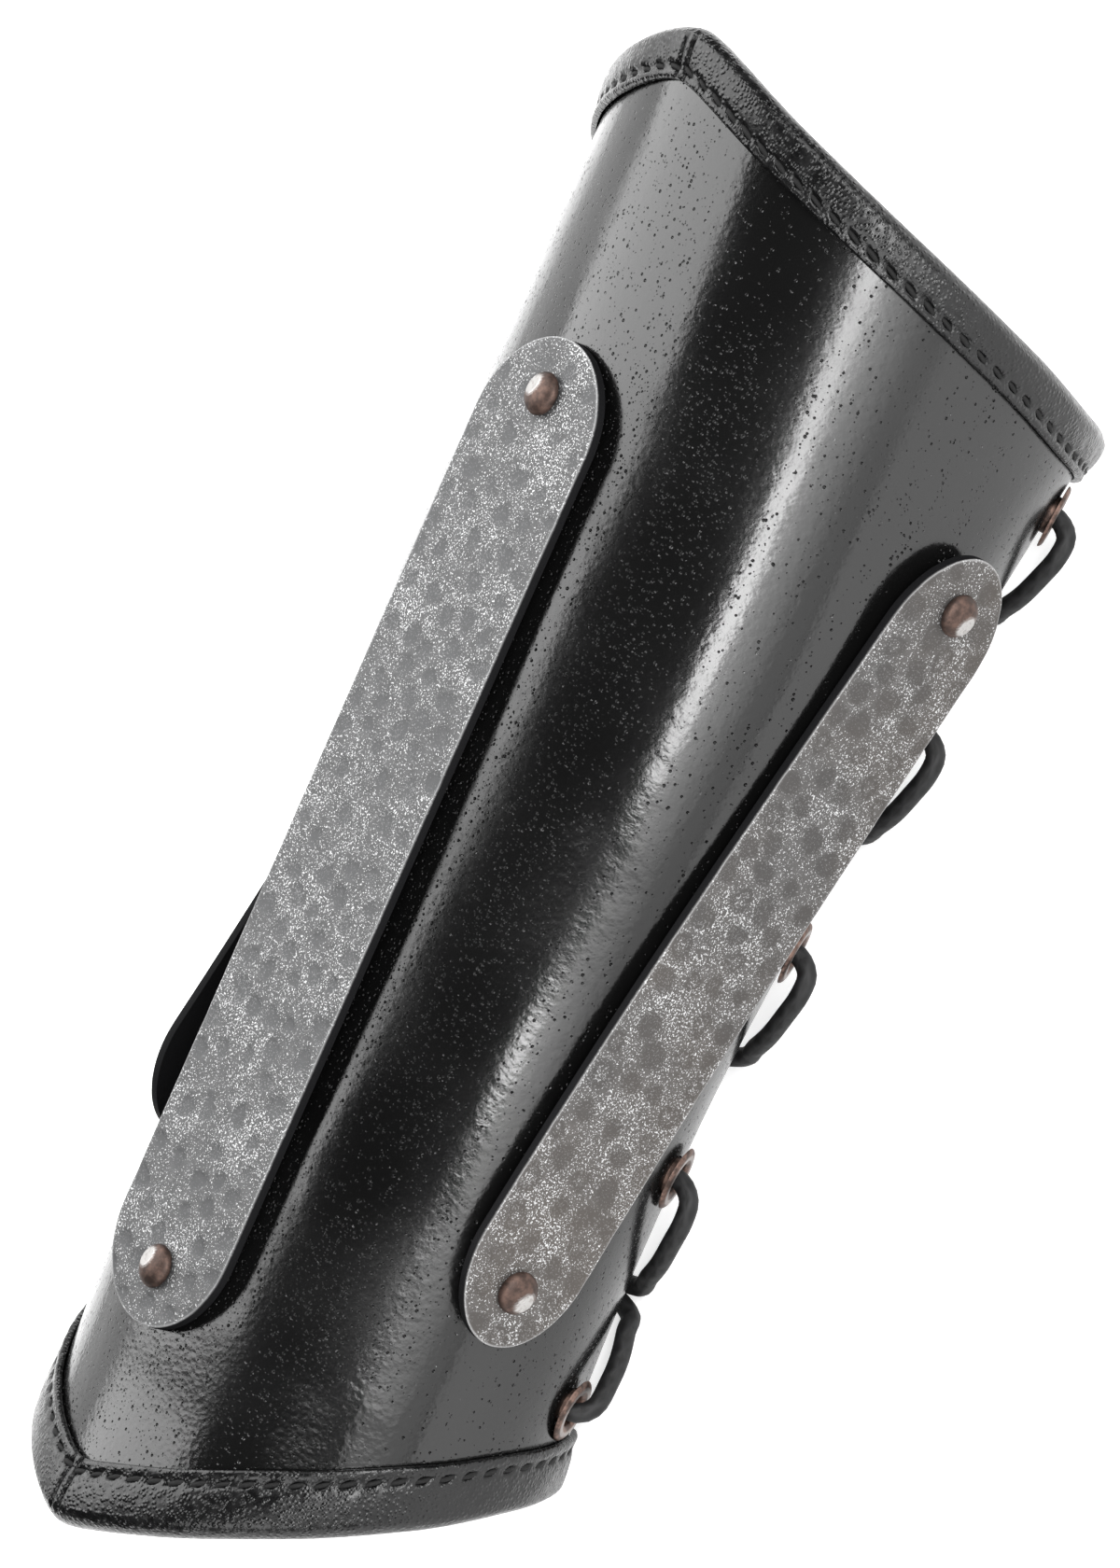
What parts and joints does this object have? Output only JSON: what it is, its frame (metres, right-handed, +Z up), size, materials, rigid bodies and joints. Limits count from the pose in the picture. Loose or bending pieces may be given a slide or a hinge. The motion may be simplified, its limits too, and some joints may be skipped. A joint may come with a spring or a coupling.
{
  "type": "leather forearm bracer",
  "caption": "Tapered black leather forearm guard, open and laced underneath, with bound pointed ends and three riveted hammered steel splints.",
  "frame": {"origin": "centre of the bounding box's base, on the surface it lies on", "axes": "+Y along the forearm from the wrist end to the elbow end, +Z up out of the back of the arm, +X to the right seen from the wrist with the lacing down"},
  "size_m": [0.0919, 0.2224, 0.0809],
  "materials": {
    "black_leather": "smooth waxed leather, glossy, with fine pores",
    "binding_leather": "softer pebbled edge leather, half gloss",
    "hammered_steel": "dark blackened steel, speckled, with smooth round hammer marks",
    "aged_copper": "aged brown copper, half gloss",
    "black_cord": "matte waxed round cord"
  },
  "bodies": {
    "root": {"leather_shell": "black_leather", "elbow_binding": "binding_leather", "wrist_binding": "binding_leather", "centre_splint": "hammered_steel", "right_splint": "hammered_steel", "left_splint": "hammered_steel", "lace": "black_cord", "centre_rivet_wrist": "aged_copper", "centre_rivet_elbow": "aged_copper", "right_rivet_wrist": "aged_copper", "right_rivet_elbow": "aged_copper", "left_rivet_wrist": "aged_copper", "left_rivet_elbow": "aged_copper", "eyelet_right_1": "aged_copper", "eyelet_right_2": "aged_copper", "eyelet_right_3": "aged_copper", "eyelet_right_4": "aged_copper", "eyelet_right_5": "aged_copper", "eyelet_left_1": "aged_copper", "eyelet_left_2": "aged_copper", "eyelet_left_3": "aged_copper", "eyelet_left_4": "aged_copper", "eyelet_left_5": "aged_copper"}
  },
  "joints": []
}
